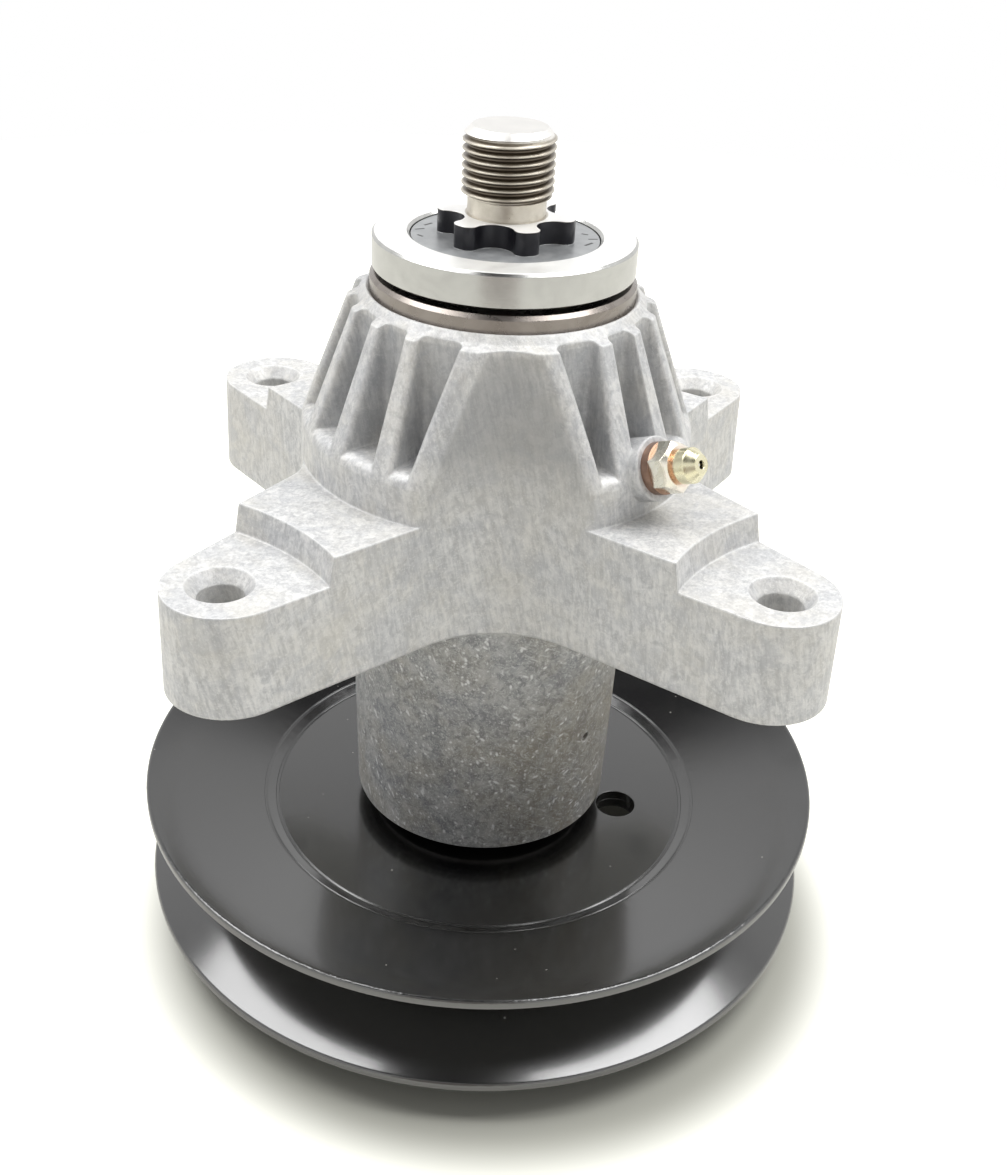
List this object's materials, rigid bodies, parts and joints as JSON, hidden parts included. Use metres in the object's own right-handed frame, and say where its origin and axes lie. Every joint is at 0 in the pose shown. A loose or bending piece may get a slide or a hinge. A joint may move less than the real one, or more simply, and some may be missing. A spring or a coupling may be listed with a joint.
{
  "type": "mower deck spindle",
  "caption": "Mower deck spindle: ribbed cast housing with four drilled ears, sealed ball bearings, threaded shaft with a drive star, V belt pulley and grease fitting.",
  "frame": {"origin": "on the spin axis, at the end face of the shaft that the part stands on", "axes": "+Z along the shaft to the blade end; X and Y along the sides of the rectangle of ear holes; -Y is the side that the grease fitting leans towards"},
  "size_m": [0.1396, 0.1396, 0.162],
  "materials": {
    "housing": "as cast",
    "grease_fitting_body": "yellow zinc plated",
    "grease_fitting_washer": "plain",
    "grease_fitting_spring": "plain",
    "grease_fitting_ball": "polished",
    "spindle_shaft": "machined and oiled",
    "slinger_ring": "turned and polished",
    "bearing_spacer": "turned",
    "dust_shield": "pressed",
    "pulley_hub": "turned",
    "pulley_upper_half": "black coat",
    "pulley_lower_half": "black coat",
    "flange_nut": "zinc plated",
    "blade_bearing_outer_ring": "ground",
    "blade_bearing_inner_ring": "ground",
    "blade_bearing_lower_seal": "moulded",
    "blade_bearing_upper_seal": "moulded",
    "blade_bearing_balls": "polished",
    "blade_bearing_cage": "pressed",
    "pulley_bearing_outer_ring": "ground",
    "pulley_bearing_inner_ring": "ground",
    "pulley_bearing_lower_seal": "moulded",
    "pulley_bearing_upper_seal": "moulded",
    "pulley_bearing_balls": "polished",
    "pulley_bearing_cage": "pressed"
  },
  "bodies": {
    "housing": {"housing": "housing", "grease_fitting_body": "grease_fitting_body", "grease_fitting_washer": "grease_fitting_washer", "grease_fitting_spring": "grease_fitting_spring", "blade_bearing_outer_ring": "blade_bearing_outer_ring", "blade_bearing_lower_seal": "blade_bearing_lower_seal", "blade_bearing_upper_seal": "blade_bearing_upper_seal", "pulley_bearing_outer_ring": "pulley_bearing_outer_ring", "pulley_bearing_lower_seal": "pulley_bearing_lower_seal", "pulley_bearing_upper_seal": "pulley_bearing_upper_seal"},
    "rotor": {"spindle_shaft": "spindle_shaft", "slinger_ring": "slinger_ring", "bearing_spacer": "bearing_spacer", "dust_shield": "dust_shield", "pulley_hub": "pulley_hub", "pulley_upper_half": "pulley_upper_half", "pulley_lower_half": "pulley_lower_half", "flange_nut": "flange_nut", "blade_bearing_inner_ring": "blade_bearing_inner_ring", "pulley_bearing_inner_ring": "pulley_bearing_inner_ring"},
    "blade_ball_set": {"blade_bearing_balls": "blade_bearing_balls", "blade_bearing_cage": "blade_bearing_cage"},
    "pulley_ball_set": {"pulley_bearing_balls": "pulley_bearing_balls", "pulley_bearing_cage": "pulley_bearing_cage"},
    "check_ball": {"grease_fitting_ball": "grease_fitting_ball"}
  },
  "joints": [
    {"name": "spindle_spin", "type": "hinge", "parent": "housing", "child": "rotor", "pos_m": [0, 0, 0.0824], "axis": [0, 0, 1], "continuous": true},
    {"name": "blade_ball_orbit", "type": "hinge", "parent": "housing", "child": "blade_ball_set", "pos_m": [0, 0, 0.1301], "axis": [0, 0, 1], "continuous": true},
    {"name": "pulley_ball_orbit", "type": "hinge", "parent": "housing", "child": "pulley_ball_set", "pos_m": [0, 0, 0.0346], "axis": [0, 0, 1], "continuous": true},
    {"name": "check_ball_lift", "type": "slide", "parent": "housing", "child": "check_ball", "axis": [-0.646, 0.646, -0.4067], "range_m": [0, 0.0008], "stiffness_N_per_m": 50, "deforming": ["grease_fitting_spring"]}
  ],
  "couplings": [
    {"joint": "blade_ball_orbit", "follows": "spindle_spin", "ratio": 0.3815},
    {"joint": "pulley_ball_orbit", "follows": "spindle_spin", "ratio": 0.3815}
  ]
}
